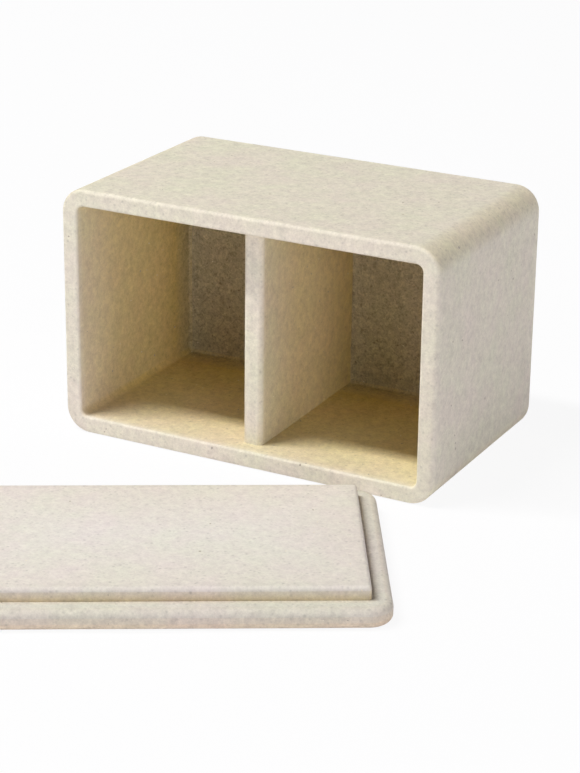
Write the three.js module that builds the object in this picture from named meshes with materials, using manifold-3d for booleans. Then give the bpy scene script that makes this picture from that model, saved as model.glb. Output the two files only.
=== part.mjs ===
// A two-compartment storage box and its loose lid, cast from sand-filled resin.
// The box lies on one long side with its opening towards -Y. The lid lies on the same surface in
// front of it, turned, with the raised panel that fits inside the box facing up.
// Millimetres, +Z up. The origin is the middle of the long side that the box lies on.

import * as THREE from 'three';
import { mergeVertices } from 'three/addons/utils/BufferGeometryUtils.js';
import Module from 'manifold-3d';

const wasm = await Module();
wasm.setup();

// Box, standing upright: the length runs along X, the width along Y and the height along Z.
const BOX_LENGTH = 160;
const BOX_WIDTH = 100;
const BOX_HEIGHT = 95;
const WALL = 6.8;
const BASE_THICKNESS = 11;
const CORNER_RADIUS = 10;
const INNER_CORNER_RADIUS = 3;
const RIM_OUTER_ROUND = 2;
const RIM_INNER_ROUND = 1.2;
const BASE_EDGE_ROUND = 4;
const FLOOR_FILLET = 2;
const CAVITY_DRAFT_DEGREES = 0.5;

// Divider: a flat plate across the width, bonded into the cavity, with its top edge below the rim.
const DIVIDER_THICKNESS = 8;
const DIVIDER_SETBACK = 7.5;
const DIVIDER_EDGE_ROUND = 2;

// Lid: a plate as long and as wide as the box, with a panel bonded to its inside.
const LID_THICKNESS = 7.4;
const LID_CORNER_RADIUS = 11;
const LID_EDGE_ROUND = 2.5;
const PANEL_HEIGHT = 5;
const PANEL_CLEARANCE = 0.5;
const PANEL_CORNER_RADIUS = 2;
const PANEL_EDGE_ROUND = 1.5;

// Stick-on pads under the base, one near each corner.
const FOOT_DIAMETER = 12;
const FOOT_THICKNESS = 1.8;
const FOOT_EDGE_ROUND = 0.6;
const FOOT_INSET = 18;

// The layer of adhesive between pieces that are bonded together.
const BOND_GAP = 0.3;

// Where the lid lies: the middle of its plate, and how far its length is turned from the box's.
const LID_X = 16.1;
const LID_Y = -138.4;
const LID_TURN_DEGREES = 30;

// How finely the curves are divided.
const CORNER_STEPS = 10;
const ROUND_STEPS = 6;
const FOOT_STEPS = 32;
const SHARPEST_CORNER = 0.4;

const SAND = '#ddd4c3';
const PAD_GREY = '#b9b4aa';

// A station is one closed turn of a lofted surface: a rounded rectangle that lies inset from the
// full outline by a given amount, at a given height.

// Stations along a quarter round. The angle is 0 facing outwards and 90 facing up.
function quarterRound(centreInset, centreZ, radius, fromDegrees, toDegrees) {
  const stations = [];
  for (let i = 0; i <= ROUND_STEPS; i++) {
    const angle = THREE.MathUtils.degToRad(THREE.MathUtils.lerp(fromDegrees, toDegrees, i / ROUND_STEPS));
    stations.push({ inset: centreInset - radius * Math.cos(angle), z: centreZ + radius * Math.sin(angle) });
  }
  return stations;
}

// Gives each station its corner radius, for corners whose radius is cornerRadius at a known inset.
function withCorners(stations, cornerRadius, insetOfCorner) {
  return stations.map(({ inset, z }) => {
    const corner = Math.max(cornerRadius + insetOfCorner - inset, SHARPEST_CORNER);
    return { inset, z, corner };
  });
}

// The points of one station, anticlockwise seen from above.
function stationPoints(length, width, { inset, z, corner }) {
  const x = length / 2 - inset - corner;
  const y = width / 2 - inset - corner;
  const centres = [[x, y], [-x, y], [-x, -y], [x, -y]];
  const points = [];
  centres.forEach(([centreX, centreY], quarter) => {
    for (let i = 0; i <= CORNER_STEPS; i++) {
      const angle = (quarter + i / CORNER_STEPS) * Math.PI / 2;
      points.push([centreX + corner * Math.cos(angle), centreY + corner * Math.sin(angle), z]);
    }
  });
  return points;
}

// One closed surface through all stations, with a flat cap on the first and on the last.
// The first cap faces down and the last one faces up.
function loft(length, width, stations) {
  const turns = stations.map((station) => stationPoints(length, width, station));
  const count = turns[0].length;
  const last = turns.length - 1;
  const positions = turns.flat(2);
  const bottomCentre = turns.length * count;
  const topCentre = bottomCentre + 1;
  positions.push(0, 0, stations[0].z, 0, 0, stations[last].z);

  const triangles = [];
  for (let k = 0; k < count; k++) {
    const next = (k + 1) % count;
    triangles.push(bottomCentre, next, k);
    for (let turn = 0; turn < last; turn++) {
      const a = turn * count + k;
      const b = turn * count + next;
      triangles.push(a, b, b + count, a, b + count, a + count);
    }
    triangles.push(topCentre, last * count + k, last * count + next);
  }
  const geometry = new THREE.BufferGeometry();
  geometry.setAttribute('position', new THREE.Float32BufferAttribute(positions, 3));
  geometry.setIndex(triangles);
  geometry.computeVertexNormals();
  return geometry;
}

// The inner wall, from the rim's height down to the flat floor: slightly tapered, then filleted.
function cavityStations(topZ, clearance) {
  const depth = BOX_HEIGHT - RIM_INNER_ROUND - BASE_THICKNESS - FLOOR_FILLET;
  const taper = depth * Math.tan(THREE.MathUtils.degToRad(CAVITY_DRAFT_DEGREES));
  const fillet = quarterRound(WALL + taper + FLOOR_FILLET, BASE_THICKNESS + FLOOR_FILLET,
    FLOOR_FILLET - clearance, 0, -90);
  const stations = [{ inset: WALL + clearance, z: topZ }, ...fillet];
  return withCorners(stations, INNER_CORNER_RADIUS, WALL);
}

function boxShell() {
  const baseEdge = quarterRound(BASE_EDGE_ROUND, BASE_EDGE_ROUND, BASE_EDGE_ROUND, -90, 0);
  const rimOuter = quarterRound(RIM_OUTER_ROUND, BOX_HEIGHT - RIM_OUTER_ROUND, RIM_OUTER_ROUND, 0, 90);
  const rimInner = quarterRound(WALL - RIM_INNER_ROUND, BOX_HEIGHT - RIM_INNER_ROUND,
    RIM_INNER_ROUND, 90, 180);
  const cavity = cavityStations(BOX_HEIGHT - RIM_INNER_ROUND, 0);
  return loft(BOX_LENGTH, BOX_WIDTH, [
    ...withCorners([...baseEdge, ...rimOuter], CORNER_RADIUS, 0),
    ...withCorners(rimInner, INNER_CORNER_RADIUS, WALL),
    ...cavity.slice(1),
  ]);
}

// The space inside the box as a solid, smaller all round by the bond gap.
function cavityCore() {
  return loft(BOX_LENGTH, BOX_WIDTH, cavityStations(BOX_HEIGHT, BOND_GAP).reverse());
}

function toSolid(geometry) {
  const bare = geometry.clone();
  bare.deleteAttribute('normal');
  bare.deleteAttribute('uv');
  const merged = mergeVertices(bare);
  const vertProperties = new Float32Array(merged.attributes.position.array);
  const triVerts = new Uint32Array(merged.index.array);
  return new wasm.Manifold(new wasm.Mesh({ numProp: 3, vertProperties, triVerts }));
}

function toGeometry(solid) {
  const { vertProperties, triVerts } = solid.getMesh();
  const geometry = new THREE.BufferGeometry();
  geometry.setAttribute('position', new THREE.BufferAttribute(vertProperties, 3));
  geometry.setIndex(new THREE.BufferAttribute(triVerts, 1));
  geometry.computeVertexNormals();
  return geometry;
}

// A plate across the whole width with a rounded top edge, trimmed to the cavity's drafted walls,
// rounded corners and floor fillet.
function divider() {
  const half = DIVIDER_THICKNESS / 2;
  const top = BOX_HEIGHT - DIVIDER_SETBACK;
  const roundX = half - DIVIDER_EDGE_ROUND;
  const roundY = top - DIVIDER_EDGE_ROUND;
  const section = new THREE.Shape();
  section.moveTo(-half, 0);
  section.lineTo(half, 0);
  section.absarc(roundX, roundY, DIVIDER_EDGE_ROUND, 0, Math.PI / 2);
  section.absarc(-roundX, roundY, DIVIDER_EDGE_ROUND, Math.PI / 2, Math.PI);
  const options = { depth: BOX_WIDTH, bevelEnabled: false, curveSegments: ROUND_STEPS };
  const plate = new THREE.ExtrudeGeometry(section, options);
  plate.rotateX(Math.PI / 2);
  plate.translate(0, BOX_WIDTH / 2, 0);
  return toGeometry(toSolid(plate).intersect(toSolid(cavityCore())));
}

function lidPlate() {
  const lower = quarterRound(LID_EDGE_ROUND, LID_EDGE_ROUND, LID_EDGE_ROUND, -90, 0);
  const upper = quarterRound(LID_EDGE_ROUND, LID_THICKNESS - LID_EDGE_ROUND, LID_EDGE_ROUND, 0, 90);
  return loft(BOX_LENGTH, BOX_WIDTH, withCorners([...lower, ...upper], LID_CORNER_RADIUS, 0));
}

// The panel is as large as the box's opening, less its clearance all round.
function lidPanel() {
  const inset = WALL + PANEL_CLEARANCE;
  const top = LID_THICKNESS + PANEL_HEIGHT;
  const foot = { inset, z: LID_THICKNESS + BOND_GAP };
  const edge = quarterRound(inset + PANEL_EDGE_ROUND, top - PANEL_EDGE_ROUND, PANEL_EDGE_ROUND, 0, 90);
  return loft(BOX_LENGTH, BOX_WIDTH, withCorners([foot, ...edge], PANEL_CORNER_RADIUS, inset));
}

// A disc whose free face has a rounded edge. It hangs below z = 0 by the bond gap.
function footPad() {
  const radius = FOOT_DIAMETER / 2;
  const lowest = -BOND_GAP - FOOT_THICKNESS;
  const profile = [new THREE.Vector2(0, lowest)];
  for (let i = 0; i <= ROUND_STEPS; i++) {
    const angle = (Math.PI / 2) * i / ROUND_STEPS;
    const x = radius - FOOT_EDGE_ROUND * (1 - Math.sin(angle));
    const y = lowest + FOOT_EDGE_ROUND * (1 - Math.cos(angle));
    profile.push(new THREE.Vector2(x, y));
  }
  profile.push(new THREE.Vector2(radius, -BOND_GAP), new THREE.Vector2(0, -BOND_GAP));
  return new THREE.LatheGeometry(profile, FOOT_STEPS).rotateX(Math.PI / 2);
}

function piece(name, geometry, color, roughness) {
  const mesh = new THREE.Mesh(geometry, new THREE.MeshStandardMaterial({ color, roughness, metalness: 0 }));
  mesh.name = name;
  return mesh;
}

function castPiece(name, geometry) {
  return piece(name, geometry, SAND, 0.9);
}

function feet() {
  const x = BOX_LENGTH / 2 - FOOT_INSET;
  const y = BOX_WIDTH / 2 - FOOT_INSET;
  const places = {
    foot_front_left: [-x, -y],
    foot_front_right: [x, -y],
    foot_back_left: [-x, y],
    foot_back_right: [x, y],
  };
  return Object.entries(places).map(([name, [footX, footY]]) => {
    const pad = piece(name, footPad(), PAD_GREY, 0.8);
    pad.position.set(footX, footY, 0);
    return pad;
  });
}

// The upright box, tipped forward onto its front side.
function lyingBox() {
  const box = new THREE.Group();
  box.add(castPiece('box_shell', boxShell()), castPiece('divider', divider()), ...feet());
  box.rotation.x = Math.PI / 2;
  box.position.set(0, BOX_HEIGHT / 2, BOX_WIDTH / 2);
  return box;
}

function lyingLid() {
  const lid = new THREE.Group();
  lid.add(castPiece('lid_plate', lidPlate()), castPiece('lid_panel', lidPanel()));
  lid.rotation.z = THREE.MathUtils.degToRad(LID_TURN_DEGREES);
  lid.position.set(LID_X, LID_Y, 0);
  return lid;
}

const group = new THREE.Group();
group.add(lyingBox(), lyingLid());

export default group;
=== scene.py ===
from collections import namedtuple
from math import atan2, cos, pi, radians, sin, tan

import bpy
from mathutils import Matrix, Vector


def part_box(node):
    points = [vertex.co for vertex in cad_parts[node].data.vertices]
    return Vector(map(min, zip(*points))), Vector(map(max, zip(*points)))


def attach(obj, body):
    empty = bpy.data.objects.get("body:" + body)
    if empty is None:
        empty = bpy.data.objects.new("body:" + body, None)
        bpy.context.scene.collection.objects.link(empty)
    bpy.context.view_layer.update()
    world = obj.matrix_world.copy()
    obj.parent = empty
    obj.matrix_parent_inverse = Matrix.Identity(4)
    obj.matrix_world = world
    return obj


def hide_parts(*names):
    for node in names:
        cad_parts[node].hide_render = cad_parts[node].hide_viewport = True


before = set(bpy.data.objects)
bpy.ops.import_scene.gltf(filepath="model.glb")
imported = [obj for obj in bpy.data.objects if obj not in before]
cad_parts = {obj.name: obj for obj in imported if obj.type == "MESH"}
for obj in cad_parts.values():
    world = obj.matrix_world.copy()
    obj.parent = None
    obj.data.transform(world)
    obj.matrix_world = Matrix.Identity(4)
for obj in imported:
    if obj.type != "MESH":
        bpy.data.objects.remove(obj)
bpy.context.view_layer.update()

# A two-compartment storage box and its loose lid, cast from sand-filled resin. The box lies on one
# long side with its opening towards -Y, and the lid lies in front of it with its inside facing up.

MM = 0.001
SQUARE_MM = MM * MM

# Camera, solved from the straight edges of box and lid.
PHOTO_LONG_SIDE = 773
FOCAL_LENGTH_PIXELS = 2303.08
SENSOR = 36.0
CAMERA_PLACE = (0.39602, -0.75776, 0.34772)
CAMERA_AZIMUTH = radians(27.873)
CAMERA_ELEVATION = radians(21.136)
CAMERA_ROLL = radians(0.685)

# Sizes that the boxes of the frame's nodes don't give. The others are read from those boxes.
WALL = 6.8 * MM
BASE_THICKNESS = 11 * MM
CORNER_RADIUS = 10 * MM
INNER_CORNER_RADIUS = 3 * MM
RIM_OUTER_ROUND = 1.5 * MM
RIM_INNER_ROUND = 1 * MM
BASE_EDGE_ROUND = 4 * MM
FLOOR_FILLET = 1.2 * MM
CAVITY_DRAFT = radians(0.5)
DIVIDER_CORNER_RADIUS = 1 * MM
DIVIDER_FOOT_ROUND = 0.5 * MM
DIVIDER_EDGE_ROUND = 2 * MM
LID_CORNER_RADIUS = 8.5 * MM
LID_EDGE_ROUND = 2.5 * MM
LID_TURN = radians(30)
PANEL_CLEARANCE = 0.5 * MM
PANEL_CORNER_RADIUS = 1.2 * MM
PANEL_EDGE_ROUND = 1.6 * MM
FOOT_EDGE_ROUND = 0.6 * MM

# How far a piece reaches into the one that carries it, so that no gap shows between the two.
DIVIDER_SUNK = 2 * MM
PANEL_SUNK = 0.3 * MM
FOOT_SUNK = 0.1 * MM

# Painted shade: inside the box the skin is pale at the rim and painted tanner and darker down the walls, for
# the shade and the warm bounced light deep in the cavity. This painted shade is set at two depths below the
# rim and is full at this height above the base. The base is painted darker instead, and fully so this far in
# from its walls. On the plate, painted shade beside the panel's foot starts this far from the panel.
PAINTED_SHADE_SHALLOW = 4 * MM
PAINTED_SHADE_DEEP = 30 * MM
PAINTED_SHADE_FULL_ABOVE_BASE = 12 * MM
BASE_SHADE_REACH = 1.2 * FLOOR_FILLET
PAINTED_SHADE_FROM_PANEL = 2.6 * MM

# How far past its round an edge is painted paler, partly as rubbed wear and partly as highlight, and how much
# painted shade makes an upright round tanner half-way between its two sides.
WEAR_AND_PAINTED_LIGHT_REACH = 1.2 * MM
ROUND_PAINTED_SHADE = 0.21

# How finely the castings are divided. The points on a straight stay this many radii clear of the
# rounds at its ends.
SECTION_SPACING = 2.4 * MM
SIDE_SPACING = 3 * MM
CORNER_STEPS = 14
ARC_STEPS = 9
CLEAR_OF_ROUND = 1.05
SAME_POINT = 0.001 * MM

# How uneven the castings are, from hollow to swell, and how wide a swell is.
CASTING_WAVINESS = 0.12 * MM
DIVIDER_WAVINESS = 0.06 * MM
WAVE_SIZE = 35 * MM
WAVE_SEED_STEP = 1.7


def make_camera():
    """A camera where the photograph was taken from."""
    flat = cos(CAMERA_ELEVATION)
    forward = Vector((-sin(CAMERA_AZIMUTH) * flat, cos(CAMERA_AZIMUTH) * flat, -sin(CAMERA_ELEVATION)))
    right = Vector((cos(CAMERA_AZIMUTH), sin(CAMERA_AZIMUTH), 0))
    up = right.cross(forward)
    level = Matrix((right, up, -forward)).transposed().to_4x4()
    placed = Matrix.Translation(CAMERA_PLACE) @ level
    camera = bpy.data.objects.new("camera", bpy.data.cameras.new("camera"))
    camera.data.sensor_width = SENSOR
    camera.data.lens = FOCAL_LENGTH_PIXELS * SENSOR / PHOTO_LONG_SIDE
    camera.matrix_world = placed @ Matrix.Rotation(CAMERA_ROLL, 4, "Z")
    bpy.context.collection.objects.link(camera)
    bpy.context.scene.camera = camera


def linear(hex_colour):
    """An sRGB hex value as the linear colour that a node takes."""
    channels = [int(hex_colour[i:i + 2], 16) / 255 for i in (1, 3, 5)]
    return [c / 12.92 if c <= 0.04045 else ((c + 0.055) / 1.055) ** 2.4 for c in channels] + [1.0]


def feed(tree, node, inputs):
    """Sets or links a node's inputs, which are named, or else given in their order. A node that is
    given as an input stands for its first output in use."""
    named = inputs.items() if isinstance(inputs, dict) else enumerate(inputs)
    for key, value in named:
        if isinstance(value, bpy.types.Node):
            value = next(output for output in value.outputs if output.enabled)
        if isinstance(value, bpy.types.NodeSocket):
            tree.links.new(value, node.inputs[key])
        else:
            node.inputs[key].default_value = value


def add(tree, kind, inputs=(), **settings):
    """Adds a node, sets its properties and feeds its inputs."""
    node = tree.nodes.new(kind)
    for name, value in settings.items():
        setattr(node, name, value)
    feed(tree, node, inputs)
    return node


def new_material(name):
    """A new material, its tree and its shader."""
    material = bpy.data.materials.new(name)
    material.use_nodes = True
    return material, material.node_tree, material.node_tree.nodes["Principled BSDF"]


# Materials. These are the sizes at which their patterns are drawn, and how strongly each one shows.

SAND_GRAIN = 0.6 * MM
SAND_BUMP = 0.07 * MM
DARK_GRIT_SPACING = 1.8 * MM
DARK_GRIT_DEPTH = 0.26
CELLS_WITHOUT_GRIT = 0.3
MOTTLE = 3 * MM
PAINTED_SHADE_MOTTLING = 0.95
# How much paler an edge is painted, partly as rubbed wear and partly as highlight; below zero it is painted
# shade.
WEAR_AND_PAINTED_LIGHT_LIFT = 0.1
PIT = 1.6 * MM
PIT_THRESHOLD = 0.85
PIT_SHADE = 0.9
PIT_BUMP = 10.0
GRAIN_TONE = 3 * MM
RUBBER_DUST = 1.5 * MM
RUBBER_BUMP = 0.03 * MM

# The drifts between a pinkish and a greenish sand, over the whole piece and in small patches: how
# wide each is, the stretch of its noise that it turns in, and its two hues.
WIDE_DRIFT = (25 * MM, 0.35, 0.65, "#fefaf8", "#fcfdf5")
SMALL_DRIFT = (6 * MM, 0.38, 0.62, "#fefdfd", "#fdfefc")


def hue_drift(tree, place, size, low, high, pinkish, greenish):
    """Patches of this size that turn from one hue to the other."""
    noise = add(tree, "ShaderNodeTexNoise", {"Vector": place, "Scale": 1 / size, "Detail": 2.0})
    drift = add(tree, "ShaderNodeMapRange", {"Value": noise, "From Min": low, "From Max": high})
    return add(tree, "ShaderNodeMix", {"Factor": drift, "A": linear(pinkish), "B": linear(greenish)},
               data_type="RGBA")


def cast_sand_resin(name, pale, deep, tint, mottling):
    """Quartz sand bound in polyester resin, cast in a silicone mould: a dead matt, finely granular stone,
    pale sand in colour and softly clouded, and stained in patches. Where the casting asks for it, as inside
    the box, shade is painted into the skin, turning it tanner and darker, and its rounded edges are painted a
    little paler, partly as rubbed wear and partly as highlight."""
    material, tree, shader = new_material(name)
    place = add(tree, "ShaderNodeTexCoord").outputs["Object"]
    painted_shade_amount = add(tree, "ShaderNodeAttribute", attribute_name="tint").outputs["Fac"]
    shade = add(tree, "ShaderNodeAttribute", attribute_name="shade").outputs["Fac"]
    wear_and_painted_light_level = add(tree, "ShaderNodeAttribute", attribute_name="wear").outputs["Fac"]

    # Each sand grain is a cell with its own tone. The real grit of about 0.3 mm is too fine to
    # show, so it is drawn about twice as coarse.
    grains = add(tree, "ShaderNodeTexVoronoi", {"Vector": place, "Scale": 1 / SAND_GRAIN})
    tone = add(tree, "ShaderNodeSeparateColor", {"Color": grains.outputs["Color"]})
    body = add(tree, "ShaderNodeMix", {"Factor": tone.outputs["Red"], "A": linear(deep), "B": linear(pale)},
               data_type="RGBA")

    # Most of the wider cells hold a darker grain, and some of these hardly show.
    grit = add(tree, "ShaderNodeTexVoronoi", {"Vector": place, "Scale": 1 / DARK_GRIT_SPACING})
    chance = add(tree, "ShaderNodeSeparateColor", {"Color": grit.outputs["Color"]})
    dot = add(tree, "ShaderNodeMapRange", {"Value": grit.outputs["Distance"], "From Min": 0.4,
                                           "From Max": 0.12, "To Max": DARK_GRIT_DEPTH})
    share = add(tree, "ShaderNodeMath", (chance.outputs["Red"], CELLS_WITHOUT_GRIT), operation="SUBTRACT")
    share = add(tree, "ShaderNodeMath", (share, 0.0), operation="MAXIMUM")
    specks = add(tree, "ShaderNodeMath", (dot, share), operation="MULTIPLY")

    # Clouds of slightly darker and lighter stone, stronger where shade is painted in.
    mottle = add(tree, "ShaderNodeTexNoise", {"Vector": place, "Scale": 1 / MOTTLE, "Detail": 4.0,
                                              "Roughness": 0.85})
    depth = add(tree, "ShaderNodeMapRange", {"Value": painted_shade_amount, "To Min": mottling, "To Max": PAINTED_SHADE_MOTTLING})
    swing = add(tree, "ShaderNodeMath", (mottle, 0.5), operation="SUBTRACT")
    lift = add(tree, "ShaderNodeMath", (swing, depth), operation="MULTIPLY")
    level = add(tree, "ShaderNodeMath", (lift, 1.0), operation="ADD")
    level = add(tree, "ShaderNodeMath", (level, specks), operation="SUBTRACT")
    # Rounded edges are painted paler, partly as rubbed wear and partly as highlight, and where the value is
    # below zero, shade is painted.
    lift_from_wear_and_painted_light = add(tree, "ShaderNodeMath", (wear_and_painted_light_level, WEAR_AND_PAINTED_LIGHT_LIFT), operation="MULTIPLY")
    level = add(tree, "ShaderNodeMath", (level, lift_from_wear_and_painted_light), operation="ADD")

    # Deep in the box, at the foot of the walls and over the base, shade is painted: the stone is darker
    # there. It is also pitted there, in colour and in bump.
    pits = add(tree, "ShaderNodeTexNoise", {"Vector": place, "Scale": 1 / PIT, "Detail": 2.0,
                                            "Distortion": 1.5})
    below = add(tree, "ShaderNodeMath", (pits, PIT_THRESHOLD), operation="SUBTRACT")
    pits_and_painted_shade = add(tree, "ShaderNodeMath", (below, shade), operation="MULTIPLY")
    darker = add(tree, "ShaderNodeMath", (pits_and_painted_shade, PIT_SHADE), operation="MULTIPLY")
    level = add(tree, "ShaderNodeMath", (level, darker), operation="ADD")
    sand = add(tree, "ShaderNodeVectorMath", (body, level), operation="MULTIPLY")

    # The tone drifts, and the tan of the painted shade lies over it, stained in patches.
    clouded = add(tree, "ShaderNodeMix",
                  {"Factor": 1.0, "A": sand, "B": hue_drift(tree, place, *WIDE_DRIFT)},
                  data_type="RGBA", blend_type="MULTIPLY")
    skin = add(tree, "ShaderNodeMix", {"Factor": painted_shade_amount, "A": linear("#ffffff"), "B": linear(tint)},
               data_type="RGBA")
    stain_and_painted_shade = add(tree, "ShaderNodeMix",
                  {"Factor": 1.0, "A": skin, "B": hue_drift(tree, place, *SMALL_DRIFT)},
                  data_type="RGBA", blend_type="MULTIPLY")
    coloured = add(tree, "ShaderNodeMix", {"Factor": 1.0, "A": clouded, "B": stain_and_painted_shade},
                   data_type="RGBA", blend_type="MULTIPLY")

    # The skin is smooth to the hand, with the grains just standing out of the resin.
    soft = add(tree, "ShaderNodeTexNoise", {"Vector": place, "Scale": 1 / (2 * SAND_GRAIN), "Detail": 3.0})
    height = add(tree, "ShaderNodeMath", (grains.outputs["Distance"], soft), operation="ADD")
    lower = add(tree, "ShaderNodeMath", (pits_and_painted_shade, PIT_BUMP), operation="MULTIPLY")
    height = add(tree, "ShaderNodeMath", (height, lower), operation="ADD")
    bump = add(tree, "ShaderNodeBump", {"Height": height, "Strength": 0.4, "Distance": SAND_BUMP})
    rough = add(tree, "ShaderNodeMapRange", {"Value": tone.outputs["Green"], "To Min": 0.5, "To Max": 0.75})
    feed(tree, shader, {"Base Color": coloured, "Normal": bump, "Roughness": rough, "IOR": 1.5,
                        "Specular IOR Level": 0.3})
    return material


def mineral_grain(name, hex_colour, other_hex, roughness):
    """A single coarser grain of sand caught in the skin of the casting: a small dot of its own tone."""
    material, tree, shader = new_material(name)
    place = add(tree, "ShaderNodeTexCoord").outputs["Object"]
    spots = add(tree, "ShaderNodeTexVoronoi", {"Vector": place, "Scale": 1 / GRAIN_TONE})
    tone = add(tree, "ShaderNodeSeparateColor", {"Color": spots.outputs["Color"]})
    colour = add(tree, "ShaderNodeMix", {"Factor": tone, "A": linear(hex_colour), "B": linear(other_hex)},
                 data_type="RGBA")
    feed(tree, shader, {"Base Color": colour, "Roughness": roughness})
    return material


def silicone_rubber():
    """Moulded silicone pads: translucent grey and smooth, a little dusty, with a soft sheen."""
    material, tree, shader = new_material("silicone_rubber")
    place = add(tree, "ShaderNodeTexCoord").outputs["Object"]
    dust = add(tree, "ShaderNodeTexNoise", {"Vector": place, "Scale": 1 / RUBBER_DUST, "Detail": 5.0})
    colour = add(tree, "ShaderNodeMix", {"Factor": dust, "A": linear("#aca79d"), "B": linear("#c3beb3")},
                 data_type="RGBA")
    rough = add(tree, "ShaderNodeMapRange", {"Value": dust, "To Min": 0.45, "To Max": 0.75})
    bump = add(tree, "ShaderNodeBump", {"Height": dust, "Strength": 0.2, "Distance": RUBBER_BUMP})
    feed(tree, shader, {"Base Color": colour, "Roughness": rough, "Normal": bump, "IOR": 1.41})
    return material


# Castings. Every one is a rounded rectangle that follows a section: its profile from the middle of the
# underside, out, up and back to the middle on top. A corner of the section holds how far it lies in from the
# full outline, how far in the centre of the rounded corner lies there, its height, the radius of the round
# that it gets, how much painted shade turns the stone tan there, how much painted shade darkens it and how
# pitted it is, and how much paler its edge is painted, partly as rubbed wear and partly as highlight. Where
# that last value is below zero, the stone is painted a little darker, as shade.

Corner = namedtuple("Corner", "inset centre height round tint shade wear", defaults=(0.0, 0.0, 0.0, 0.0))


def section(*corners):
    """The points of a section as corners, with points on its straights too."""
    points = []
    for start, end in zip(corners, corners[1:]):
        here = Vector(start[:3])
        there = Vector(end[:3])
        reach = (there - here).length
        first = start.round * CLEAR_OF_ROUND / reach
        last = 1 - end.round * CLEAR_OF_ROUND / reach
        cuts = max(int((last - first) * reach / SECTION_SPACING), 1)
        points.append(start)
        for i in range(cuts + 1):
            share = first + (last - first) * i / cuts
            if 0 < share < 1:
                # Between corners, the painted shade is spread evenly.
                tint = start.tint + (end.tint - start.tint) * share
                shade = start.shade + (end.shade - start.shade) * share
                # The painted paleness of an edge, and its painted shade where the value is below zero, fades
                # over a short reach past its round.
                past_start = (share * reach - start.round) / WEAR_AND_PAINTED_LIGHT_REACH
                before_end = ((1 - share) * reach - end.round) / WEAR_AND_PAINTED_LIGHT_REACH
                wear = start.wear * max(1 - past_start, 0.0) + end.wear * max(1 - before_end, 0.0)
                points.append(Corner(*here.lerp(there, share), 0.0, tint, shade, wear))
    points.append(corners[-1]._replace(round=0.0))
    return points


def new_tree(name, inputs, output):
    """A tree for a modifier, with these inputs listed by their kind, and what its inputs give."""
    tree = bpy.data.node_groups.new(name, "GeometryNodeTree")
    tree.is_modifier = True
    for kind, names in inputs.items():
        for input_name in names:
            tree.interface.new_socket(input_name, in_out="INPUT", socket_type="NodeSocket" + kind)
    tree.interface.new_socket(output, in_out="OUTPUT", socket_type="NodeSocketGeometry")
    return tree, add(tree, "NodeGroupInput").outputs


def end_tree(tree, geometry, material, output):
    """Ends a tree in plain faces of this material."""
    real = add(tree, "GeometryNodeRealizeInstances", {"Geometry": geometry})
    done = add(tree, "GeometryNodeSetMaterial", {"Geometry": real, "Material": material})
    add(tree, "NodeGroupOutput", {output: done})


def rounded_section(tree, given):
    """The section as a line with its corners rounded, which holds its own course as an attribute."""
    line = add(tree, "GeometryNodeMeshToCurve", {"Mesh": given["Section"]})
    radius = add(tree, "GeometryNodeInputNamedAttribute", {"Name": "round"}, data_type="FLOAT")
    rounded = add(tree, "GeometryNodeFilletCurve",
                  {"Curve": line, "Count": given["Arc Steps"], "Radius": radius}, mode="POLY")
    where = add(tree, "GeometryNodeInputPosition")
    return add(tree, "GeometryNodeStoreNamedAttribute",
               {"Geometry": rounded, "Name": "profile", "Value": where},
               data_type="FLOAT_VECTOR", domain="POINT")


def way_round(tree, given):
    """The way round a casting, in four quarters, each a corner and then a side. It holds which way
    each point faces, and at which corner it lies, or how far from one corner to the next."""
    steps = add(tree, "ShaderNodeMath", (given["Corner Steps"], given["Side Steps"]), operation="ADD")
    index = add(tree, "GeometryNodeInputIndex")
    quarter = add(tree, "ShaderNodeMath", (index, steps), operation="DIVIDE")
    quarter = add(tree, "ShaderNodeMath", (quarter,), operation="FLOOR")
    steps_before = add(tree, "ShaderNodeMath", (quarter, steps), operation="MULTIPLY")
    step = add(tree, "ShaderNodeMath", (index, steps_before), operation="SUBTRACT")
    turn = add(tree, "ShaderNodeMath", (step, given["Corner Steps"]), operation="DIVIDE")
    turn = add(tree, "ShaderNodeMath", (turn, 1.0), operation="MINIMUM")
    slide = add(tree, "ShaderNodeMath", (step, given["Corner Steps"]), operation="SUBTRACT")
    slide = add(tree, "ShaderNodeMath", (slide, given["Side Steps"]), operation="DIVIDE")
    slide = add(tree, "ShaderNodeMath", (slide, 0.0), operation="MAXIMUM")

    angle = add(tree, "ShaderNodeMath", (quarter, turn), operation="ADD")
    angle = add(tree, "ShaderNodeMath", (angle, pi / 2), operation="MULTIPLY")
    across = add(tree, "ShaderNodeMath", (angle,), operation="COSINE")
    along = add(tree, "ShaderNodeMath", (angle,), operation="SINE")
    facing = add(tree, "ShaderNodeCombineXYZ", {"X": across, "Y": along})

    corners = []
    for ahead in (0.5, 1.5):
        angle = add(tree, "ShaderNodeMath", (quarter, ahead), operation="ADD")
        angle = add(tree, "ShaderNodeMath", (angle, pi / 2), operation="MULTIPLY")
        signs = {}
        for axis, operation in (("X", "COSINE"), ("Y", "SINE")):
            reach = add(tree, "ShaderNodeMath", (angle,), operation=operation)
            signs[axis] = add(tree, "ShaderNodeMath", (reach,), operation="SIGN")
        corners.append(add(tree, "ShaderNodeCombineXYZ", signs))
    side = add(tree, "ShaderNodeMix", {"Factor": slide, "A": corners[0], "B": corners[1]}, data_type="VECTOR")

    points = add(tree, "ShaderNodeMath", (steps, 4.0), operation="MULTIPLY")
    route = add(tree, "GeometryNodeCurvePrimitiveCircle", {"Resolution": points, "Radius": 1.0},
                mode="RADIUS")
    for name, value in (("facing", facing), ("side", side)):
        route = add(tree, "GeometryNodeStoreNamedAttribute",
                    {"Geometry": route, "Name": name, "Value": value},
                    data_type="FLOAT_VECTOR", domain="POINT")
    return route


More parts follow.
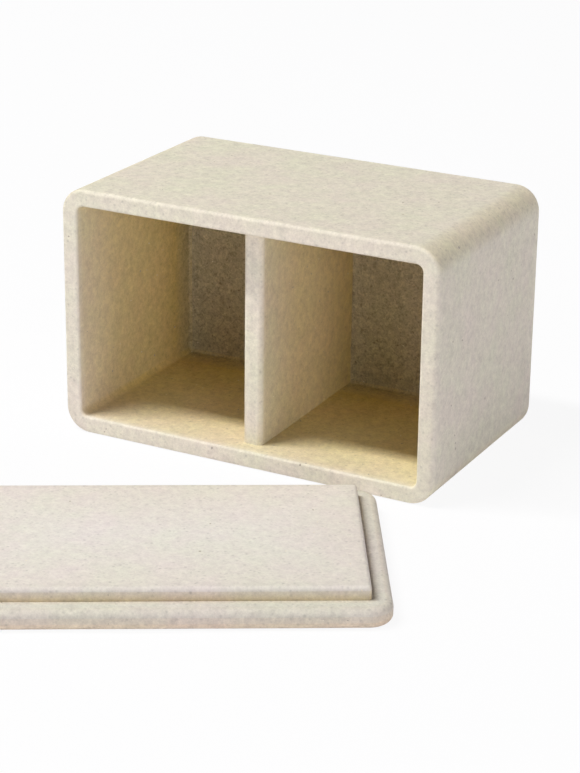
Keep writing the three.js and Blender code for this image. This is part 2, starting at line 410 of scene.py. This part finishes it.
def put_in_place(tree, given, net):
    """Sends each point of the swept net to its real place, and closes the net."""
    known = {}
    for name in ("profile", "facing", "side"):
        attribute = add(tree, "GeometryNodeInputNamedAttribute", {"Name": name}, data_type="FLOAT_VECTOR")
        known[name] = add(tree, "ShaderNodeSeparateXYZ", {"Vector": attribute}).outputs
    inset = known["profile"]["X"]
    corner = add(tree, "ShaderNodeMath", (known["profile"]["Y"], inset), operation="SUBTRACT")
    corner = add(tree, "ShaderNodeMath", (corner, 0.0), operation="MAXIMUM")
    spot = {"Z": known["profile"]["Z"]}
    for axis, size in (("X", "Length"), ("Y", "Width")):
        straight = add(tree, "ShaderNodeMath", (given[size], 2.0), operation="DIVIDE")
        straight = add(tree, "ShaderNodeMath", (straight, inset), operation="SUBTRACT")
        straight = add(tree, "ShaderNodeMath", (straight, corner), operation="SUBTRACT")
        straight = add(tree, "ShaderNodeMath", (straight, 0.0), operation="MAXIMUM")
        centre = add(tree, "ShaderNodeMath", (known["side"][axis], straight), operation="MULTIPLY")
        out = add(tree, "ShaderNodeMath", (known["facing"][axis], corner), operation="MULTIPLY")
        spot[axis] = add(tree, "ShaderNodeMath", (centre, out), operation="ADD")
    spot = add(tree, "ShaderNodeCombineXYZ", spot)
    placed = add(tree, "GeometryNodeSetPosition", {"Geometry": net, "Position": spot})
    return add(tree, "GeometryNodeMergeByDistance", {"Geometry": placed, "Distance": SAME_POINT})


def paint_shade_on_rounds(tree, given, skin):
    """Paints shade on the upright rounds: half-way between their two sides they are a little tanner and
    darker, as a painted band of shade where neither the light from above nor the light from the side falls.
    """
    normal = add(tree, "GeometryNodeInputNormal")
    facing = add(tree, "ShaderNodeSeparateXYZ", {"Vector": normal}).outputs
    diagonal = add(tree, "ShaderNodeMath", (facing["X"], facing["Y"]), operation="MULTIPLY")
    diagonal = add(tree, "ShaderNodeMath", (diagonal,), operation="ABSOLUTE")
    twice = add(tree, "ShaderNodeMath", (given["Round Tint"], 2.0), operation="MULTIPLY")
    more = add(tree, "ShaderNodeMath", (diagonal, twice), operation="MULTIPLY")
    tint = add(tree, "GeometryNodeInputNamedAttribute", {"Name": "tint"}, data_type="FLOAT")
    tint = add(tree, "ShaderNodeMath", (tint, more), operation="ADD")
    return add(tree, "GeometryNodeStoreNamedAttribute", {"Geometry": skin, "Name": "tint", "Value": tint},
               data_type="FLOAT", domain="POINT")


def make_uneven(tree, given, skin):
    """Moves the skin in and out a little, because a hand-poured casting is never quite flat."""
    where = add(tree, "GeometryNodeInputPosition")
    scale = add(tree, "ShaderNodeMath", (1.0, given["Wave Size"]), operation="DIVIDE")
    wave = add(tree, "ShaderNodeTexNoise", {"Vector": where, "W": given["Seed"], "Scale": scale,
                                            "Detail": 1.0}, noise_dimensions="4D")
    swell = add(tree, "ShaderNodeMath", (wave, 0.5), operation="SUBTRACT")
    swell = add(tree, "ShaderNodeMath", (swell, given["Waviness"]), operation="MULTIPLY")
    normal = add(tree, "GeometryNodeInputNormal")
    shift = add(tree, "ShaderNodeVectorMath", {0: normal, "Scale": swell}, operation="SCALE")
    wavy = add(tree, "GeometryNodeSetPosition", {"Geometry": skin, "Offset": shift})
    return add(tree, "GeometryNodeSetShadeSmooth", {"Geometry": wavy, "Shade Smooth": True})


def casting_tree():
    """Sweeps the section that it is given round a rounded rectangle."""
    tree, given = new_tree("rounded_casting", {
        "Geometry": ["Section"],
        "Float": ["Length", "Width", "Round Tint", "Waviness", "Wave Size", "Seed"],
        "Int": ["Corner Steps", "Side Steps", "Arc Steps"],
        "Material": ["Material"],
    }, "Casting")
    profile = rounded_section(tree, given)
    route = way_round(tree, given)
    net = add(tree, "GeometryNodeCurveToMesh", {"Curve": route, "Profile Curve": profile})
    net = add(tree, "GeometryNodeFlipFaces", {"Mesh": net})
    skin = put_in_place(tree, given, net)
    skin = paint_shade_on_rounds(tree, given, skin)
    skin = make_uneven(tree, given, skin)
    end_tree(tree, skin, given["Material"], "Casting")
    return tree


# Single coarse grains. Flatness and the greatest stretch are shares of a grain's width, and a density
# is the number of grains on a square millimetre. Each mineral has its least and greatest width and
# the first of its seeds.
GRAIN_FLATNESS = 0.3
GRAIN_STRETCH = 1.7
STRETCH_SEED = 5
SPIN_SEED = 7
SHELL_DARK_DENSITY = 0.0014
DIVIDER_DARK_DENSITY = 0.0016
PLATE_DARK_DENSITY = 0.0008
PANEL_DARK_DENSITY = 0.0005
DARK_WIDTHS = (0.4 * MM, 0.9 * MM)
DARK_SEED = 11
PALE_DENSITY = 0.002
PALE_WIDTHS = (0.3 * MM, 0.6 * MM)
PALE_SEED = 31


def grain_tree():
    """Scatters single coarse grains over the skin of a casting, each half sunk in it."""
    tree, given = new_tree("coarse_grains", {
        "Geometry": ["Casting"],
        "Float": ["Density", "Smallest", "Largest", "Flatness"],
        "Int": ["Seed"],
        "Material": ["Material"],
    }, "Grains")
    points = add(tree, "GeometryNodeDistributePointsOnFaces",
                 {"Mesh": given["Casting"], "Density": given["Density"], "Seed": given["Seed"]})
    stone = add(tree, "GeometryNodeMeshIcoSphere", {"Radius": 0.5, "Subdivisions": 1})
    width = add(tree, "FunctionNodeRandomValue",
                {"Min": given["Smallest"], "Max": given["Largest"], "Seed": given["Seed"]}, data_type="FLOAT")
    stretch = add(tree, "FunctionNodeRandomValue",
                  {"Min": 1.0, "Max": GRAIN_STRETCH, "Seed": STRETCH_SEED}, data_type="FLOAT")
    long_side = add(tree, "ShaderNodeMath", (width, stretch), operation="MULTIPLY")
    thickness = add(tree, "ShaderNodeMath", (width, given["Flatness"]), operation="MULTIPLY")
    size = add(tree, "ShaderNodeCombineXYZ", {"X": long_side, "Y": width, "Z": thickness})
    angle = add(tree, "FunctionNodeRandomValue", {"Min": 0.0, "Max": 2 * pi, "Seed": SPIN_SEED},
                data_type="FLOAT")
    spin = add(tree, "ShaderNodeCombineXYZ", {"Z": angle})
    turned = add(tree, "FunctionNodeRotateRotation",
                 {"Rotation": points.outputs["Rotation"], "Rotate By": spin}, rotation_space="LOCAL")
    placed = add(tree, "GeometryNodeInstanceOnPoints",
                 {"Points": points, "Instance": stone, "Rotation": turned, "Scale": size})
    end_tree(tree, placed, given["Material"], "Grains")
    return tree


def run_tree(obj, tree, values):
    """Gives the object the tree with these inputs, and turns the result into its plain mesh."""
    modifier = obj.modifiers.new(tree.name, "NODES")
    modifier.node_group = tree
    for item in tree.interface.items_tree:
        if item.name in values:
            modifier[item.identifier] = values[item.name]
    bpy.context.view_layer.update()
    graph = bpy.context.evaluated_depsgraph_get()
    mesh = bpy.data.meshes.new_from_object(obj.evaluated_get(graph))
    obj.modifiers.clear()
    obj.data = mesh
    mesh.name = obj.name


def new_object(name, mesh):
    obj = bpy.data.objects.new(name, mesh)
    bpy.context.collection.objects.link(obj)
    return obj


def casting(name, length, width, corners, place, material, waviness=CASTING_WAVINESS):
    """A casting on the section through these corners, put where it belongs by the place matrix."""
    points = section(*corners)
    edges = [(i, i + 1) for i in range(len(points) - 1)]
    mesh = bpy.data.meshes.new(name)
    mesh.from_pydata([point[:3] for point in points], edges, [])
    for attribute in ("round", "tint", "shade", "wear"):
        values = mesh.attributes.new(attribute, "FLOAT", "POINT")
        values.data.foreach_set("value", [getattr(point, attribute) for point in points])
    obj = new_object(name, mesh)
    run_tree(obj, CASTING_TREE, {
        "Length": length, "Width": width, "Round Tint": ROUND_PAINTED_SHADE, "Waviness": waviness,
        "Wave Size": WAVE_SIZE, "Seed": len(name) * WAVE_SEED_STEP, "Corner Steps": CORNER_STEPS,
        "Side Steps": max(int(length / SIDE_SPACING), 1), "Arc Steps": ARC_STEPS, "Material": material})
    for attribute in ("round", "profile", "facing", "side"):
        if attribute in obj.data.attributes:
            obj.data.attributes.remove(obj.data.attributes[attribute])
    obj.data.transform(place)
    return obj


def keep(obj, body, slot, *nodes):
    """Says which body the piece rides on and hides the nodes that it takes the place of. Its slot is not
    used.
    """
    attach(obj, body)
    if nodes:
        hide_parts(*nodes)


def size_of(node):
    low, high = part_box(node)
    return high - low


def middle_of(node):
    low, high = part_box(node)
    return (low + high) / 2


make_camera()

CASTING_TREE = casting_tree()
GRAIN_TREE = grain_tree()

# The stone of the box, of the lid's plate and of its panel. The three differ a little in tone, as
# separate pours do.
# The last colour of each is the tan that painted shade turns its skin towards.
STONE = cast_sand_resin("cast_sand_resin", "#e4ded1", "#ded8ca", "#ffebaa", mottling=0.7)
LID_STONE = cast_sand_resin("cast_sand_resin_lid", "#dedbd5", "#d6d3cd", "#fdecda", mottling=0.62)
PANEL_STONE = cast_sand_resin("cast_sand_resin_panel", "#eeeae8", "#e8e3e2", "#e3d4ad", mottling=0.45)
RUBBER = silicone_rubber()
DARK_GRAIN = mineral_grain("basalt_grain", "#aca191", "#bdb19e", roughness=0.6)
PALE_GRAIN = mineral_grain("quartz_grain", "#efe8d8", "#e6dbc4", roughness=0.4)

# A section is that of a box that stands upright. LYING lays the box on its long side, and LID_PLACE
# puts the lid where it lies and turns it.
LENGTH, HEIGHT, WIDTH = size_of("box_shell")
HALF_WIDTH = WIDTH / 2
PLATE_THICKNESS = size_of("lid_plate").z
PANEL_INSET = WALL + PANEL_CLEARANCE
LYING = Matrix.Translation((0, HEIGHT / 2, WIDTH / 2)) @ Matrix.Rotation(pi / 2, 4, "X")
LID_MIDDLE = middle_of("lid_plate") * Vector((1, 1, 0))
LID_PLACE = Matrix.Translation(LID_MIDDLE) @ Matrix.Rotation(LID_TURN, 4, "Z")


def box_shell():
    """Four walls and a base in one, with a soft rim, a slight draft inside and a filleted floor."""
    centre = WALL + INNER_CORNER_RADIUS
    foot = WALL + (HEIGHT - BASE_THICKNESS) * tan(CAVITY_DRAFT)
    shell = casting("box_shell_casting", LENGTH, WIDTH, [
        Corner(HALF_WIDTH, CORNER_RADIUS, 0),
        # The base's edge and both edges of the rim are painted paler, partly as rubbed wear and partly as
        # highlight.
        Corner(0, CORNER_RADIUS, 0, BASE_EDGE_ROUND, wear=0.5),
        Corner(0, CORNER_RADIUS, HEIGHT, RIM_OUTER_ROUND, wear=0.4),
        Corner(WALL, centre, HEIGHT, RIM_INNER_ROUND, wear=0.8),
        # Down the walls the skin is painted tanner and darker as shade, and the base darker still, with pits.
        Corner(WALL, centre, HEIGHT - PAINTED_SHADE_SHALLOW, tint=0.35),
        Corner(WALL, centre, HEIGHT - PAINTED_SHADE_DEEP, tint=0.7),
        Corner(foot, centre, BASE_THICKNESS + PAINTED_SHADE_FULL_ABOVE_BASE, tint=1.0, shade=0.15),
        Corner(foot, centre, BASE_THICKNESS, FLOOR_FILLET, tint=0.6, shade=0.8),
        Corner(foot + BASE_SHADE_REACH, centre, BASE_THICKNESS, tint=0.35, shade=1.0),
        Corner(HALF_WIDTH, centre, BASE_THICKNESS, tint=0.35, shade=1.0),
    ], LYING, STONE)
    keep(shell, "box", "cast_sand_resin", "box_shell")
    return shell


def divider():
    """The wall across the middle, set back from the rim, with the edges of its front rounded."""
    low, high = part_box("divider")
    thickness = high.x - low.x
    width = WIDTH - 2 * WALL + 2 * DIVIDER_SUNK
    centre = DIVIDER_CORNER_RADIUS
    foot = BASE_THICKNESS - DIVIDER_SUNK
    top = HEIGHT / 2 - low.y
    plate = casting("divider_casting", thickness, width, [
        # Shade is painted down the divider: it is tanner towards the base.
        Corner(thickness / 2, centre, foot, tint=0.8),
        Corner(0, centre, foot, DIVIDER_FOOT_ROUND, tint=0.8),
        Corner(0, centre, top - PAINTED_SHADE_DEEP, tint=0.62),
        Corner(0, centre, top - PAINTED_SHADE_SHALLOW, tint=0.25),
        # Its front edges, and a little of its front, are painted paler, partly as rubbed wear and partly as
        # highlight.
        Corner(0, centre, top, DIVIDER_EDGE_ROUND, wear=1.2),
        Corner(thickness / 2, centre, top, wear=0.6),
    ], LYING, STONE, DIVIDER_WAVINESS)
    keep(plate, "box", "cast_sand_resin", "divider")
    return plate


def lid_plate():
    """The lid's slab, as long and as wide as the box, with soft edges."""
    plate = casting("lid_plate_casting", LENGTH, WIDTH, [
        Corner(HALF_WIDTH, LID_CORNER_RADIUS, 0),
        # Painted shade makes the plate's outer side tanner and darker towards the floor; its lower edge is
        # also painted paler, partly as rubbed wear and partly as highlight.
        Corner(0, LID_CORNER_RADIUS, 0, LID_EDGE_ROUND, tint=0.85, wear=0.5),
        Corner(0, LID_CORNER_RADIUS, PLATE_THICKNESS, LID_EDGE_ROUND, tint=0.2),
        # Painted shade makes the plate tanner and darker beside the panel's foot.
        Corner(PANEL_INSET - PAINTED_SHADE_FROM_PANEL, LID_CORNER_RADIUS, PLATE_THICKNESS),
        Corner(PANEL_INSET, LID_CORNER_RADIUS, PLATE_THICKNESS, tint=0.4),
        Corner(HALF_WIDTH, LID_CORNER_RADIUS, PLATE_THICKNESS),
    ], LID_PLACE, LID_STONE)
    keep(plate, "lid", "cast_sand_resin", "lid_plate")
    return plate


def lid_panel():
    """The raised rectangle on the lid's inside, which drops into the box's opening."""
    centre = PANEL_INSET + PANEL_CORNER_RADIUS
    foot = PLATE_THICKNESS - PANEL_SUNK
    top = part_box("lid_panel")[1].z
    panel = casting("lid_panel_casting", LENGTH, WIDTH, [
        # Painted shade makes the panel's sides tanner and darker towards its foot.
        Corner(HALF_WIDTH, centre, foot, tint=0.85),
        Corner(PANEL_INSET, centre, foot, tint=0.85),
        # Its top edge is painted a little darker, as shade.
        Corner(PANEL_INSET, centre, top, PANEL_EDGE_ROUND, tint=0.15, wear=-0.5),
        Corner(HALF_WIDTH, centre, top),
    ], LID_PLACE, PANEL_STONE)
    keep(panel, "lid", "cast_sand_resin", "lid_panel")
    return panel


def foot_pad(node):
    """A round stick-on pad under the base."""
    low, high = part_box(node)
    diameter = high.x - low.x
    radius = diameter / 2
    stands_out = high.y - HEIGHT / 2
    middle = middle_of(node)
    place = Matrix.Translation((middle.x, HEIGHT / 2, middle.z)) @ Matrix.Rotation(pi / 2, 4, "X")
    pad = casting(node + "_pad", diameter, diameter, [
        Corner(radius, radius, -stands_out),
        Corner(0, radius, -stands_out, FOOT_EDGE_ROUND),
        Corner(0, radius, FOOT_SUNK),
        Corner(radius, radius, FOOT_SUNK),
    ], place, RUBBER, 0.0)
    keep(pad, "box", "foot_pad", node)


def coarse_grains(name, carrier, body, density, widths, seed, material):
    """Single grains of one mineral in the skin of the casting that carries them."""
    obj = new_object(name, carrier.data.copy())
    run_tree(obj, GRAIN_TREE, {
        "Density": density / SQUARE_MM, "Smallest": widths[0], "Largest": widths[1],
        "Flatness": GRAIN_FLATNESS, "Seed": seed, "Material": material})
    keep(obj, body, "cast_sand_resin")


CARRIERS = (
    ("shell", box_shell(), "box", SHELL_DARK_DENSITY),
    ("divider", divider(), "box", DIVIDER_DARK_DENSITY),
    ("plate", lid_plate(), "lid", PLATE_DARK_DENSITY),
    ("panel", lid_panel(), "lid", PANEL_DARK_DENSITY),
)
for node in ("foot_front_left", "foot_front_right", "foot_back_left", "foot_back_right"):
    foot_pad(node)
for i, (name, carrier, body, density) in enumerate(CARRIERS):
    coarse_grains(name + "_dark_grains", carrier, body, density, DARK_WIDTHS, DARK_SEED + i, DARK_GRAIN)
    coarse_grains(name + "_pale_grains", carrier, body, PALE_DENSITY, PALE_WIDTHS, PALE_SEED + i, PALE_GRAIN)


# Stage: a pale floor, a low glow all round with four soft lights in it, and one strip light above.
# What the camera and the gloss see of floor and backdrop is white, and the floor keeps a pale shadow.

FLOOR_REACH = 4.0
FLOOR_SHADOW = 0.08
FLOOR_BELOW = 0.05 * MM

# The glow ends at this height above the horizon. It fades over this much of the height's sine, on
# either side, and a soft light over that much of the cosine of its radius.
GLOW_COLOUR = (1.0, 0.975, 1.05, 1.0)
GLOW_STRENGTH = 0.33
GLOW_TOP = radians(14)
GLOW_FADE = 0.05

# The soft lights are round: azimuth, elevation and radius in degrees, and strength.
SOFT_LIGHTS = ((45, 9, 11, 6.7), (80, 10, 12, 1.6), (120, 16, 15, 1.5), (330, 20, 15, 1.6))
SOFT_LIGHT_FADE = 0.01

# The strip light's sizes and place are in metres, and its power in watts.
STRIP_COLOUR = (1.0, 0.995, 0.97)
STRIP_HEIGHT = 3.0
STRIP_TOWARDS_FRONT = 0.87
STRIP_FROM = -2.8
STRIP_TO = -0.45
STRIP_WIDTH = 0.36
STRIP_POWER = 149


def white_to_the_eye(tree, shader, share):
    """Mixes plain white into a surface for the rays that look at it."""
    seen = add(tree, "ShaderNodeLightPath").outputs
    looks = add(tree, "ShaderNodeMath", (seen["Is Camera Ray"], seen["Is Glossy Ray"]), operation="MAXIMUM")
    looks = add(tree, "ShaderNodeMath", (looks, seen["Is Transmission Ray"]), operation="MAXIMUM")
    amount = add(tree, "ShaderNodeMath", (looks, share), operation="MULTIPLY")
    white = add(tree, "ShaderNodeEmission", {"Color": linear("#ffffff"), "Strength": 1.0})
    return add(tree, "ShaderNodeMixShader", (amount, shader, white))


def make_floor():
    """A matt white board, much larger than the view and just clear of the undersides."""
    reach = FLOOR_REACH
    mesh = bpy.data.meshes.new("floor")
    mesh.from_pydata([(-reach, -reach, 0), (reach, -reach, 0), (reach, reach, 0), (-reach, reach, 0)],
                     [], [(0, 1, 2, 3)])
    floor = new_object("floor", mesh)
    floor.location.z = -FLOOR_BELOW
    material, tree, shader = new_material("matt_white_board")
    feed(tree, shader, {"Base Color": linear("#f3f2f8"), "Roughness": 1.0, "Specular IOR Level": 0.0})
    seen = white_to_the_eye(tree, shader, 1 - FLOOR_SHADOW)
    feed(tree, tree.nodes["Material Output"], {"Surface": seen})
    mesh.materials.append(material)


def towards(azimuth, elevation):
    """The direction of a place in the sky, in degrees: azimuth 0 is in front and 90 to the right."""
    flat = cos(radians(elevation))
    across = sin(radians(azimuth)) * flat
    back = -cos(radians(azimuth)) * flat
    return Vector((across, back, sin(radians(elevation))))


def make_world():
    """The glow all round and the soft lights in it."""
    world = bpy.data.worlds.new("soft_studio")
    bpy.context.scene.world = world
    world.use_nodes = True
    tree = world.node_tree
    light = tree.nodes["Background"]
    direction = add(tree, "ShaderNodeTexCoord").outputs["Generated"]
    rise = add(tree, "ShaderNodeSeparateXYZ", {"Vector": direction}).outputs["Z"]
    level = add(tree, "ShaderNodeMapRange", {
        "Value": rise, "From Min": sin(GLOW_TOP) - GLOW_FADE, "From Max": sin(GLOW_TOP) + GLOW_FADE,
        "To Min": GLOW_STRENGTH, "To Max": 0.0}, interpolation_type="SMOOTHSTEP")
    for azimuth, elevation, radius, strength in SOFT_LIGHTS:
        edge = cos(radians(radius))
        nearness = add(tree, "ShaderNodeVectorMath", (direction, towards(azimuth, elevation)),
                       operation="DOT_PRODUCT")
        soft_light = add(tree, "ShaderNodeMapRange", {
            "Value": nearness, "From Min": edge - SOFT_LIGHT_FADE, "From Max": edge + SOFT_LIGHT_FADE,
            "To Min": 0.0, "To Max": strength}, interpolation_type="SMOOTHSTEP")
        level = add(tree, "ShaderNodeMath", (level, soft_light), operation="ADD")
    feed(tree, light, {"Strength": level, "Color": GLOW_COLOUR})
    seen = white_to_the_eye(tree, light, 1.0)
    feed(tree, tree.nodes["World Output"], {"Surface": seen})


def make_strip_light():
    """A long strip light overhead, to the left and a little in front, along the box's length."""
    lamp = bpy.data.lights.new("key", "AREA")
    lamp.shape = "RECTANGLE"
    lamp.size = STRIP_TO - STRIP_FROM
    lamp.size_y = STRIP_WIDTH
    lamp.energy = STRIP_POWER
    lamp.color = STRIP_COLOUR
    obj = new_object("key", lamp)
    obj.location = ((STRIP_FROM + STRIP_TO) / 2, -STRIP_TOWARDS_FRONT, STRIP_HEIGHT)
    obj.rotation_euler = (-atan2(STRIP_TOWARDS_FRONT, STRIP_HEIGHT), 0, 0)


make_floor()
make_world()
make_strip_light()
bpy.context.scene.view_settings.view_transform = "Standard"
